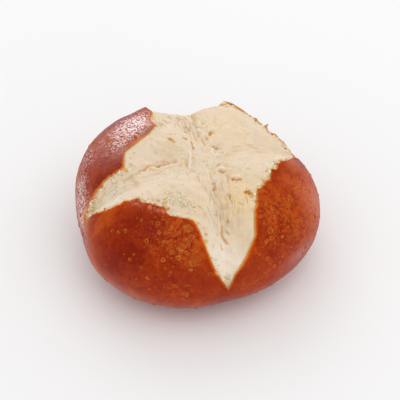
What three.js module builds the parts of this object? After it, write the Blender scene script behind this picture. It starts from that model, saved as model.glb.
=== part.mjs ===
// A pretzel roll: a round lye-dough bun whose brown crust has torn open along a cross cut, so that
// the pale crumb shows between four lobes of crust. Millimetres, +Z up. The roll lies on its flat
// base, and the origin is the middle of its footprint.
import * as THREE from "three";

// Driving dimensions. Directions are seen from the core, a point on the roll's axis at its widest
// level: the azimuth turns from +X towards +Y, and the polar angle falls from straight up. Both are
// in degrees.
const bodyRadius = 48;
const domeHeight = 31; // what the top would reach above the core, were it not torn open
const bellyDepth = 25; // what the belly would reach below the core, were its base not flat
const coreHeight = 22; // from the base up to the core
const domeFullness = 2.2; // 2 is an ellipse, and more is boxier
const bellyFullness = 2.4;

const crustLip = 0.9; // how far the crust stands proud of the crumb along the tear
const lipCurl = 0.4; // how far the crust turns up towards the tear
const lipCurlReach = 5;
const tearDepth = 7; // from the unbroken dome down to the floor of the cut
const tearSlope = 0.7; // the fall from the crust down to the cut where an arm is narrow
const creaseShare = 0.3; // the share of the tear's depth that lies in the crease along the cut
const creaseSharpness = 5;

// Where the dough rose fuller or flatter than the plain form.
const swells = [
  { azimuth: 20, polar: 66, height: -2, widthAzimuth: 18, widthPolar: 22 },
  { azimuth: 45, polar: 62, height: -1.7, widthAzimuth: 18, widthPolar: 22 },
  { azimuth: 75, polar: 64, height: 2.8, widthAzimuth: 15, widthPolar: 16 },
  { azimuth: 120, polar: 64, height: 2.5, widthAzimuth: 14, widthPolar: 14 },
  { azimuth: 160, polar: 68, height: 5, widthAzimuth: 30, widthPolar: 24 },
  { azimuth: 225, polar: 105, height: 3.6, widthAzimuth: 32, widthPolar: 30 },
  { azimuth: 305, polar: 100, height: -0.8, widthAzimuth: 25, widthPolar: 30 },
  { azimuth: 350, polar: 92, height: 1.9, widthAzimuth: 30, widthPolar: 30 },
];

// The cut's four arms run from its centre to these tips, where the body is drawn in a little. Each
// place is [azimuth, polar].
const cutCentre = [352, 6.5];
const rightTip = [23, 81];
const backTip = [103, 90];
const leftTip = [200.5, 83];
const frontTip = [284.5, 91];
const tips = [rightTip, backTip, leftTip, frontTip];
const pinch = { depth: 1.2, widthAzimuth: 11, widthPolar: 26 };

// The torn edge of each lobe of crust, in order round the roll, between the tips at its two ends.
const lobes = [
  {
    from: leftTip,
    edge: [
      [205, 74], [210, 68], [214, 63], [218, 57], [224, 53], [232, 51],
      [245, 50], [250, 52.5], [265, 53], [270, 57], [274, 66], [279, 79],
    ],
    to: frontTip,
  },
  {
    from: frontTip,
    edge: [
      [288, 82], [293, 76], [298, 70], [302, 66], [305, 61], [310, 55],
      [318, 50.5], [326, 49], [344, 49], [353, 51], [361, 56], [371, 65],
    ],
    to: rightTip,
  },
  {
    from: rightTip,
    edge: [
      [24, 72], [26, 67], [29, 64], [40, 65], [49, 67],
      [61, 64], [68, 61], [74, 63], [83, 72], [92, 82],
    ],
    to: backTip,
  },
  {
    from: backTip,
    edge: [
      [110, 80], [116, 71], [121.5, 63.5], [124, 54], [127, 49.5], [134, 45], [140.5, 39.5], [154, 38],
      [166, 40], [184, 46], [194, 48.5], [197, 54], [198, 60], [199, 66], [199.7, 74],
    ],
    to: leftTip,
  },
];

// The grid has a column for each step along the torn edge, and rows from the top to the base.
const stepsPerLobe = 26;
const crumbRows = 12;
const crustRows = 15;
const basePrecision = 0.001; // degrees

const { degToRad, euclideanModulo, lerp, radToDeg, smoothstep } = THREE.MathUtils;

// The unit vector from the core towards a place.
function direction([azimuth, polar]) {
  const flat = Math.sin(degToRad(polar));
  const x = flat * Math.cos(degToRad(azimuth));
  const y = flat * Math.sin(degToRad(azimuth));
  return new THREE.Vector3(x, y, Math.cos(degToRad(polar)));
}

// A smooth hump of height 1 round a centre.
function hump(azimuth, polar, centre, widths) {
  const turn = euclideanModulo(azimuth - centre[0] + 180, 360) - 180;
  const fall = polar - centre[1];
  return Math.exp(-((turn / widths.widthAzimuth) ** 2) - (fall / widths.widthPolar) ** 2);
}

// The distance from the core to the unbroken body.
function bodyReach(towards) {
  const flat = Math.hypot(towards.x, towards.y);
  const isDome = towards.z > 0;
  const fullness = isDome ? domeFullness : bellyFullness;
  const rise = Math.abs(towards.z) / (isDome ? domeHeight : bellyDepth);
  const azimuth = radToDeg(Math.atan2(towards.y, towards.x));
  const polar = radToDeg(Math.atan2(flat, towards.z));
  let reach = ((flat / bodyRadius) ** fullness + rise ** fullness) ** (-1 / fullness);
  for (const swell of swells) {
    reach += swell.height * hump(azimuth, polar, [swell.azimuth, swell.polar], swell);
  }
  for (const tip of tips) {
    reach -= pinch.depth * hump(azimuth, polar, tip, pinch);
  }
  return reach;
}

// The point of the body's surface in a direction, moved outwards by a height.
function surfacePoint(towards, raised = 0) {
  const point = towards.clone().multiplyScalar(bodyReach(towards) + raised);
  return point.setZ(point.z + coreHeight);
}

// The whole torn edge in even steps along each lobe, [azimuth, polar].
function tornEdge() {
  const steps = [];
  let lastAzimuth = 0;
  for (const lobe of lobes) {
    const points = [lobe.from, ...lobe.edge, lobe.to].map(([azimuth, polar]) => {
      lastAzimuth = azimuth < lastAzimuth ? azimuth + 360 : azimuth;
      return new THREE.Vector2(lastAzimuth, polar);
    });
    const curve = new THREE.SplineCurve(points);
    steps.push(...curve.getSpacedPoints(stepsPerLobe).slice(0, -1));
  }
  return steps.map((step) => [step.x, step.y]);
}

const edgeSteps = tornEdge();
const edgePoints = edgeSteps.map((step) => surfacePoint(direction(step)));
const edgeLines = edgePoints.map((point, i) => new THREE.Line3(point, edgePoints.at(i - 1)));

function distanceToEdge(point) {
  const nearest = new THREE.Vector3();
  const distances = edgeLines.map((line) => line.closestPointToPoint(point, true, nearest).distanceTo(point));
  return Math.min(...distances);
}

// The distance from a point to the nearest arm of the cut. Each arm lies in a plane through the core.
function distanceToCut(point) {
  const fromCore = point.clone().setZ(point.z - coreHeight);
  const centre = direction(cutCentre);
  const distances = tips.map((tip) => {
    const across = new THREE.Vector3().crossVectors(centre, direction(tip)).normalize();
    const ahead = new THREE.Vector3().crossVectors(across, centre);
    const isBehind = fromCore.dot(ahead) < 0;
    return isBehind ? Math.hypot(fromCore.dot(across), fromCore.dot(ahead)) : Math.abs(fromCore.dot(across));
  });
  return Math.min(...distances);
}

// The torn crumb lies below the unbroken body: by a lip at the crust, and deepest at the cut.
function crumbPoint(towards) {
  const body = surfacePoint(towards);
  const toEdge = distanceToEdge(body);
  const armHalfWidth = toEdge + distanceToCut(body);
  const share = armHalfWidth > 0 ? toEdge / armHalfWidth : 0;
  const slope = (1 - creaseShare) * smoothstep(share, 0, 1);
  const crease = creaseShare * share ** creaseSharpness;
  const depth = Math.min(tearDepth, tearSlope * armHalfWidth);
  return surfacePoint(towards, -crustLip - depth * (slope + crease));
}

function crustPoint(azimuth, polar, edgePolar) {
  const towards = direction([azimuth, polar]);
  const fromEdge = surfacePoint(towards).distanceTo(surfacePoint(direction([azimuth, edgePolar])));
  return surfacePoint(towards, lipCurl * Math.exp(-fromEdge / lipCurlReach));
}

// The polar angle at which the body meets the plane of its base.
function basePolar(azimuth) {
  let above = 90;
  let below = 180;
  while (below - above > basePrecision) {
    const middle = (above + below) / 2;
    if (surfacePoint(direction([azimuth, middle])).z > 0) above = middle;
    else below = middle;
  }
  return above;
}

// One column of points: the crumb from the cut's centre to the torn edge, then the crust down to
// the edge of the base.
function columnPoints([azimuth, edgePolar]) {
  const points = [];
  const edge = direction([azimuth, edgePolar]);
  for (let row = 1; row <= crumbRows; row++) {
    const towards = direction(cutCentre).lerp(edge, row / crumbRows).normalize();
    points.push(crumbPoint(towards));
  }
  const lowest = basePolar(azimuth);
  for (let row = 0; row < crustRows; row++) {
    points.push(crustPoint(azimuth, lerp(edgePolar, lowest, row / crustRows), edgePolar));
  }
  points.push(surfacePoint(direction([azimuth, lowest])).setZ(0));
  return points;
}

// The closed body: a fan at the top, quads between neighbouring columns, and a fan for the base.
// Each quad is split along its shorter diagonal.
function rollGeometry() {
  const columns = edgeSteps.map(columnPoints);
  const rows = columns[0].length;
  const top = crumbPoint(direction(cutCentre));
  const base = new THREE.Vector3(0, 0, 0);
  const points = [top, ...columns.flat(), base];
  const faces = [];
  for (let column = 0; column < columns.length; column++) {
    const here = 1 + column * rows;
    const next = 1 + ((column + 1) % columns.length) * rows;
    faces.push(0, here, next);
    for (let row = 0; row < rows - 1; row++) {
      const [a, b, c, d] = [here + row, here + row + 1, next + row + 1, next + row];
      const isShorter = points[a].distanceTo(points[c]) < points[b].distanceTo(points[d]);
      faces.push(...(isShorter ? [a, b, c, a, c, d] : [a, b, d, b, c, d]));
    }
    faces.push(here + rows - 1, points.length - 1, next + rows - 1);
  }
  const geometry = new THREE.BufferGeometry().setFromPoints(points);
  geometry.setIndex(faces);
  geometry.computeBoundingBox();
  const middle = geometry.boundingBox.getCenter(new THREE.Vector3());
  geometry.translate(-middle.x, -middle.y, 0);
  geometry.computeVertexNormals();
  return geometry;
}

const crust = new THREE.MeshStandardMaterial({ color: 0x9c4016, roughness: 0.35, metalness: 0 });
const roll = new THREE.Mesh(rollGeometry(), crust);
roll.name = "roll";

const pretzelRoll = new THREE.Group();
pretzelRoll.add(roll);

export default pretzelRoll;
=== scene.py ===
# A pretzel roll of lye dough: a glossy brown crust, torn open along a cross cut over the pale crumb.
import math

import bpy
import numpy as np
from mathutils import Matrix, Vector
from mathutils.geometry import delaunay_2d_cdt
from mathutils.kdtree import KDTree


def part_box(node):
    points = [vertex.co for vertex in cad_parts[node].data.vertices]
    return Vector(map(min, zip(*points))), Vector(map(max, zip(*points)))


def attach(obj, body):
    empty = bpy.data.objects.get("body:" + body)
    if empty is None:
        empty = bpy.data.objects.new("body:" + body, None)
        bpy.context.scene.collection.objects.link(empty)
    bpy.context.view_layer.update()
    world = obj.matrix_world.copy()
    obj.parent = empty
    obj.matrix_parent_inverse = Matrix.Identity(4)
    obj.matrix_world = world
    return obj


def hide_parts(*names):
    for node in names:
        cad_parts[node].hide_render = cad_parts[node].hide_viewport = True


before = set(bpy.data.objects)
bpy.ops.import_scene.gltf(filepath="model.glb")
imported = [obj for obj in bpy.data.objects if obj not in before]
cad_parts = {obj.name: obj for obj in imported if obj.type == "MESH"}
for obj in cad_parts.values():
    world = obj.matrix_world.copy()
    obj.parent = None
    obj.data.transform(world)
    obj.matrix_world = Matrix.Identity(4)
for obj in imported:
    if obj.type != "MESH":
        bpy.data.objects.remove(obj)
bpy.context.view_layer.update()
rollLow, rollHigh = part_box("roll")
metresPerMm = 0.001

# Its form, in millimetres and degrees. A place is an azimuth, turning from +X to +Y, and a polar
# angle falling from straight up, both seen from the core on the roll's axis. A zone is a smooth
# patch: azimuth, polar, width round, width down, and how much, as the note beside its list says.
dough = {
    "radius": 48,
    "domeHeight": 31,
    "bellyDepth": 25,
    "coreHeight": 22,
    "domeFullness": 2.2,
    "bellyFullness": 2.4,
    "swells": [  # height
        (20, 66, 18, 22, -2), (45, 62, 18, 22, -1.7), (75, 64, 15, 16, 2.8), (120, 64, 14, 14, 2.5),
        (160, 68, 30, 24, 5), (225, 105, 32, 30, 3.6), (305, 100, 25, 30, -0.8), (350, 92, 30, 30, 1.9),
        (230, 99, 15, 12, -1), (12, 71, 9, 8, 0.7), (139, 66, 7, 9, 0.7), (178, 73, 24, 13, -0.6),
        (33, 64, 8, 10, -0.6), (6, 60, 9, 7, 0.7),
    ],
    "pinch": (11, 26, -1.2),  # at each tip: width round, width down, height
    "cutCentre": (352, 6.5),
    "rightTip": (23, 81),
    "backTip": (103, 90),
    "leftTip": (200.5, 83),
    "frontTip": (284.5, 91),
}
tips = ("rightTip", "backTip", "leftTip", "frontTip")
core = np.array([0, 0, dough["coreHeight"]])


def direction(azimuth, polar):
    flat = np.sin(np.radians(polar))
    x = flat * np.cos(np.radians(azimuth))
    y = flat * np.sin(np.radians(azimuth))
    return np.stack([x, y, np.cos(np.radians(polar))], axis=-1)


def placesOf(directions):
    azimuth = np.degrees(np.arctan2(directions[..., 1], directions[..., 0]))
    flat = np.hypot(directions[..., 0], directions[..., 1])
    return azimuth, np.degrees(np.arctan2(flat, directions[..., 2]))


# How far an azimuth is turned from another, from -180 to 180 degrees.
def turnFrom(start, azimuth):
    return (azimuth - start + 180) % 360 - 180


# Smooth humps, one for each zone, on top of what is there already.
def zoneSum(zones, azimuth, polar, total=0.0):
    for centre, centrePolar, widthRound, widthDown, height in zones:
        away = -((turnFrom(centre, azimuth) / widthRound) ** 2) - ((polar - centrePolar) / widthDown) ** 2
        total = total + height * np.exp(away)
    return total


# The same along the torn edge, where a zone has its azimuth, width and height.
def edgeSum(zones, azimuth, total=0.0):
    return zoneSum([(centre, 0, width, 1, height) for centre, width, height in zones], azimuth, 0, total)


def smoothStep(value, low, high):
    share = np.clip((value - low) / (high - low), 0, 1)
    return share * share * (3 - 2 * share)


def unit(vectors):
    return vectors / np.linalg.norm(vectors, axis=-1, keepdims=True)


# The point of the unbroken dough in a direction, moved outwards by a height.
def doughPoint(azimuth, polar, raised=0):
    isDome = polar < 90
    fullness = np.where(isDome, dough["domeFullness"], dough["bellyFullness"])
    height = np.where(isDome, dough["domeHeight"], dough["bellyDepth"])
    flat = np.sin(np.radians(polar)) / dough["radius"]
    rise = np.abs(np.cos(np.radians(polar))) / height
    reach = (flat ** fullness + rise ** fullness) ** (-1 / fullness) + raised
    pinches = [(*dough[tip], *dough["pinch"]) for tip in tips]
    reach = zoneSum(dough["swells"] + pinches, azimuth, polar, reach)
    return direction(azimuth, polar) * reach[..., None] + core


def doughNormal(azimuth, polar):
    step = 0.2
    south = doughPoint(azimuth, polar + step) - doughPoint(azimuth, polar - step)
    east = doughPoint(azimuth + step, polar) - doughPoint(azimuth - step, polar)
    return unit(np.cross(south, east))


# Seeded waves of about one length in every direction, with a spread of 1.
def ripples(points, length, seed, waves=48):
    chance = np.random.default_rng(seed)
    lengths = length * chance.uniform(0.7, 1.4, waves)
    headings = unit(chance.normal(size=(waves, points.shape[1])))
    angles = points @ (headings * (2 * math.pi / lengths)[:, None]).T
    return math.sqrt(2 / waves) * np.cos(angles + chance.uniform(0, 2 * math.pi, waves)).sum(axis=1)


tornEdge = {
    "step": 0.33,
    # The edge of each lobe of crust, from tip to tip round the roll.
    "lobes": [
        [
            (200.5, 83), (205, 74), (210, 68), (214, 63), (218, 57), (224, 53), (232, 51), (245, 50),
            (250, 52.5), (265, 53), (270, 57), (274, 66), (279, 79), (284.5, 91),
        ],
        [
            (284.5, 91), (288, 82), (293, 76), (298, 70), (302, 66), (305, 61), (310, 55), (318, 50.5),
            (326, 49), (344, 49), (353, 51), (361, 56), (371, 65), (383, 81),
        ],
        [
            (383, 81), (384.5, 80), (387, 79.5), (391, 78), (397, 76.5), (403, 76), (409, 75.5),
            (416, 72), (421, 66.5), (428, 62), (433.5, 63.5), (438, 72), (443, 82), (450, 89),
            (463, 90),
        ],
        [
            (463, 90), (469, 84), (475, 74), (481.5, 63.5), (483.7, 56), (484.8, 51.5), (489.5, 49.3),
            (493, 47), (494.5, 43.5), (496.8, 39.8), (505, 38), (514, 38), (526, 40.7), (532.5, 43.5),
            (537.5, 46.3), (547, 47.3), (551, 48), (552.6, 50), (553.3, 53), (553.6, 57), (554, 60),
            (555.2, 63.5), (556.3, 68), (557.5, 73.5), (559, 80), (560.5, 83),
        ],
    ],
    "raggedness": 0.05,
    # length of the waves, height, seed
    "waves": [(2.9, 0.7, 11), (1.1, 0.8, 12)],
    # azimuth, width, extra raggedness
    "raggedStretches": [(340, 26, 0.16), (50, 30, 0.22), (200, 8, 0.14), (226, 9, 0.1), (128, 10, 0.06)],
    # azimuth, height towards the crumb, width, lift
    "teeth": [
        (219, 0.5, 1.3, 0.2), (224, 0.9, 1.5, 0.6), (229, -0.5, 1.2, 0), (279, -0.4, 0.8, 0.1),
        (312, -0.6, 1.2, 0), (322, 0.7, 1.3, 0.2), (337, -0.8, 1.4, 0), (344, 0.6, 1.1, 0.3),
        (351, -1.2, 1.5, 0), (358, 0.5, 1.2, 0.2), (29, 0.5, 1.2, 0.4), (38, -0.6, 1.2, 0.2),
        (50, 0.9, 0.5, 1.7), (56, 0.4, 0.8, 0.5), (62, -0.5, 1, 0), (69, 0.4, 1.4, 0.4),
        (196.5, 0.6, 0.9, 0.2), (198.5, -0.5, 0.8, 0),
    ],
    "tipCalm": 3,
}


def splinePoints(points, stepsPerPoint=24):
    knots = np.array([points[0], *points, points[-1]], dtype=float)
    share = np.linspace(0, 1, stepsPerPoint, endpoint=False)[:, None]
    stretches = []
    for a, b, c, d in zip(knots, knots[1:], knots[2:], knots[3:]):
        leave = (c - a) / 2
        arrive = (d - b) / 2
        cubic = (2 * b - 2 * c + leave + arrive) * share ** 3
        square = (3 * c - 3 * b - 2 * leave - arrive) * share ** 2
        stretches.append(cubic + square + leave * share + b)
    return np.vstack([*stretches, knots[-1:]])


# Where along a line its points are, by length.
def lengthsAlong(points):
    return np.concatenate([[0], np.cumsum(np.linalg.norm(np.diff(points, axis=0), axis=1))])


# The smooth edge in even steps: its places, and how far each is from a tip.
def smoothEdge():
    places, calm = [], []
    for lobe in tornEdge["lobes"]:
        line = splinePoints(lobe)
        lengths = lengthsAlong(doughPoint(line[:, 0], line[:, 1]))
        count = round(lengths[-1] / tornEdge["step"])
        at = np.linspace(0, lengths[-1], count, endpoint=False)
        places.append(np.stack([np.interp(at, lengths, line[:, side]) for side in (0, 1)], axis=1))
        calm.append(np.minimum(at, lengths[-1] - at))
    return np.vstack(places), np.concatenate(calm)


# The edge as it tore: pushed to and fro across itself, and lifted at its teeth.
def raggedEdge(places, fromTip):
    azimuth, polar = places[:, 0], places[:, 1]
    points = doughPoint(azimuth, polar)
    along = np.arange(len(points)) * tornEdge["step"]
    amount = edgeSum(tornEdge["raggedStretches"], azimuth, tornEdge["raggedness"])
    line = np.stack([along, 0 * along], axis=1)
    push = amount * sum(height * ripples(line, length, seed) for length, height, seed in tornEdge["waves"])
    lift = np.zeros(len(points))
    for toothAzimuth, height, width, toothLift in tornEdge["teeth"]:
        nearest = np.argmin(np.abs(turnFrom(toothAzimuth, azimuth)))
        tooth = np.exp(-(((along - along[nearest]) / width) ** 2))
        push += height * tooth
        lift += toothLift * tooth
    calmed = smoothStep(fromTip, 0, tornEdge["tipCalm"])
    forward = unit(np.roll(points, -1, axis=0) - np.roll(points, 1, axis=0))
    across = unit(np.cross(doughNormal(azimuth, polar), forward))
    return placesOf(points + across * (push * calmed)[:, None] - core), lift * calmed


smoothPlaces, fromTip = smoothEdge()
smoothLine = doughPoint(smoothPlaces[:, 0], smoothPlaces[:, 1])
(edgeAzimuth, edgePolar), edgeLift = raggedEdge(smoothPlaces, fromTip)
edgeLine = doughPoint(edgeAzimuth, edgePolar)
print(f"torn edge: {len(edgeLine)} steps, {lengthsAlong(edgeLine)[-1]:.0f} mm round")


# The distance from each point to a closed line, and the number of the line's nearest step.
def nearestOn(line, points, fineness=4):
    closed = np.vstack([line, line[:1]])
    shares = np.arange(fineness)[:, None] / fineness
    fine = (closed[:-1, None] + (closed[1:] - closed[:-1])[:, None] * shares).reshape(-1, 3)
    tree = KDTree(len(fine))
    for number, point in enumerate(fine.tolist()):
        tree.insert(point, number)
    tree.balance()
    found = [tree.find(point)[1:] for point in points.tolist()]
    numbers = np.array([number for number, _ in found]) // fineness
    return np.array([distance for _, distance in found]), numbers


# A flat map of the dough, seen from straight above, that keeps the shape of small things.
def toMap(azimuth, polar):
    out = np.tan(np.radians(polar) / 2)
    return np.stack([out * np.cos(np.radians(azimuth)), out * np.sin(np.radians(azimuth))], axis=-1)


def isInside(mapped, loop):
    inside = np.zeros(len(mapped), dtype=bool)
    for (x1, y1), (x2, y2) in zip(loop, np.roll(loop, -1, axis=0)):
        crosses = (y1 > mapped[:, 1]) != (y2 > mapped[:, 1])
        if crosses.any():
            at = x1 + (mapped[:, 1] - y1) * (x2 - x1) / ((y2 - y1) or 1)
            inside ^= crosses & (mapped[:, 0] < at)
    return inside


# The polar angle at which the dough meets the plane of its base.
def basePolar(azimuth, lowest=175.0, halvings=30):
    above = np.full(azimuth.shape, 90.0)
    below = np.full(azimuth.shape, lowest)
    for _ in range(halvings):
        middle = (above + below) / 2
        isAbove = doughPoint(azimuth, middle)[..., 2] > 0
        above = np.where(isAbove, middle, above)
        below = np.where(isAbove, below, middle)
    return above


# Evenly spread places, laid out like the seeds of a sunflower, down to the base.
def sunflower(spacing, lowest=125, steps=2000):
    polar = np.linspace(0, lowest, steps)
    outline = doughPoint(np.zeros(steps), polar) - core
    strip = np.linalg.norm(np.diff(outline, axis=0), axis=1)
    middle = (outline[1:, 0] + outline[:-1, 0]) / 2
    area = np.concatenate([[0], np.cumsum(2 * math.pi * middle * strip)])
    seeds = np.arange(round(area[-1] / spacing ** 2)) + 0.5
    azimuth = (seeds * math.degrees(math.pi * (3 - math.sqrt(5)))) % 360
    return azimuth, np.interp(seeds / len(seeds) * area[-1], area, polar)


# Triangles over the places, whose first points are the given loops. The first may be a hole.
def triangulate(azimuth, polar, loopLengths, holeSize=0):
    mapped = toMap(azimuth, polar)
    tolerance = 1e-9
    edges, start = [], 0
    for length in loopLengths:
        edges += [(start + i, start + (i + 1) % length) for i in range(length)]
        start += length
    corners = [Vector(point) for point in mapped.tolist()]
    result = delaunay_2d_cdt(corners, edges, [], 0, tolerance, False)
    if len(result[0]) != len(corners):
        raise ValueError("the torn edge crosses itself")
    triangles = np.array(result[2])
    a, b, c = (mapped[triangles[:, i]] for i in range(3))
    isClockwise = np.cross(b - a, c - a) < 0
    triangles[isClockwise] = triangles[isClockwise][:, ::-1]
    isHole = (triangles < holeSize).all(axis=1)
    isHole[isHole] = isInside(mapped[triangles[isHole]].mean(axis=1), mapped[:holeSize])
    return triangles[~isHole]


# Stores a number or a vector for each point of a mesh.
def storeMark(mesh, name, values):
    isVector = np.ndim(values) == 2
    layer = mesh.attributes.new(name, "FLOAT_VECTOR" if isVector else "FLOAT", "POINT")
    layer.data.foreach_set("vector" if isVector else "value", np.array(values, dtype=np.float32).ravel())


def addObject(name, data):
    made = bpy.data.objects.new(name, data)
    bpy.context.scene.collection.objects.link(made)
    return made


# Gathers the points, faces and marks of one closed body.
class Body:
    def __init__(self):
        self.points = []
        self.faces = []
        self.marks = []
        self.size = 0

    def addPoints(self, points, **marks):
        first = self.size
        self.points.append(points)
        self.marks.append(marks)
        self.size += len(points)
        return np.arange(first, self.size)

    # Quads from one loop of points to another.
    def addStrip(self, start, end):
        quads = [start, np.roll(start, -1), np.roll(end, -1), end]
        self.faces += np.stack(quads, axis=1).tolist()

    # Closes a flat loop with rings down to its middle.
    def addBase(self, loop, isFacingDown, rings=7):
        outline = np.vstack(self.points)[loop]
        outer = loop
        for ring in range(1, rings):
            inner = self.addPoints(outline * (1 - ring / rings, 1 - ring / rings, 1))
            self.addStrip(*((inner, outer) if isFacingDown else (outer, inner)))
            outer = inner
        middle = self.addPoints(outline[:1] * (0, 0, 1))[0]
        after = np.roll(outer, -1)
        for start, end in zip(*((after, outer) if isFacingDown else (outer, after))):
            self.faces.append((int(start), int(end), int(middle)))

    def finish(self, name, shift):
        mesh = bpy.data.meshes.new(name)
        points = (np.vstack(self.points) + shift) * metresPerMm
        mesh.from_pydata(points.tolist(), [], self.faces)
        for mark in sorted({mark for marks in self.marks for mark in marks}):
            isVector = any(np.ndim(marks.get(mark, 0)) == 2 for marks in self.marks)
            values = [
                np.broadcast_to(marks.get(mark, 0), (len(part), 3) if isVector else len(part))
                for part, marks in zip(self.points, self.marks)
            ]
            storeMark(mesh, mark, np.concatenate(values))
        mesh.shade_smooth()
        print(f"{name}: {len(mesh.vertices)} points, {len(mesh.polygons)} faces")
        return addObject(name, mesh)


# The way from the form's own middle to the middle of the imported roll.
def shiftToFrame():
    azimuth, polar = np.meshgrid(np.arange(360.0), np.arange(1.0, 120.0))
    form = doughPoint(azimuth, polar).reshape(-1, 3)
    middle = (form.min(axis=0) + form.max(axis=0)) / 2
    packed = (np.array(rollLow) + np.array(rollHigh)) / 2 / metresPerMm
    return (packed - middle) * (1, 1, 0)


shift = shiftToFrame()
coreInFrame = (shift + core) * metresPerMm
edgeMap = toMap(edgeAzimuth, edgePolar)
baseStep = 0.9  # degrees


# Places for a sheet over the dough: those of each zone's spacing that its test keeps.
def spread(zones):
    azimuths, polars = [], []
    for spacing, keeps in zones:
        azimuth, polar = sunflower(spacing)
        isAbove = polar < basePolar(azimuth) - spacing
        azimuth, polar = azimuth[isAbove], polar[isAbove]
        points = doughPoint(azimuth, polar)
        toEdge, _ = nearestOn(edgeLine, points)
        kept = keeps(polar, toEdge, isInside(toMap(azimuth, polar), edgeMap))
        azimuths.append(azimuth[kept])
        polars.append(polar[kept])
    return np.concatenate(azimuths), np.concatenate(polars)


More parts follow.
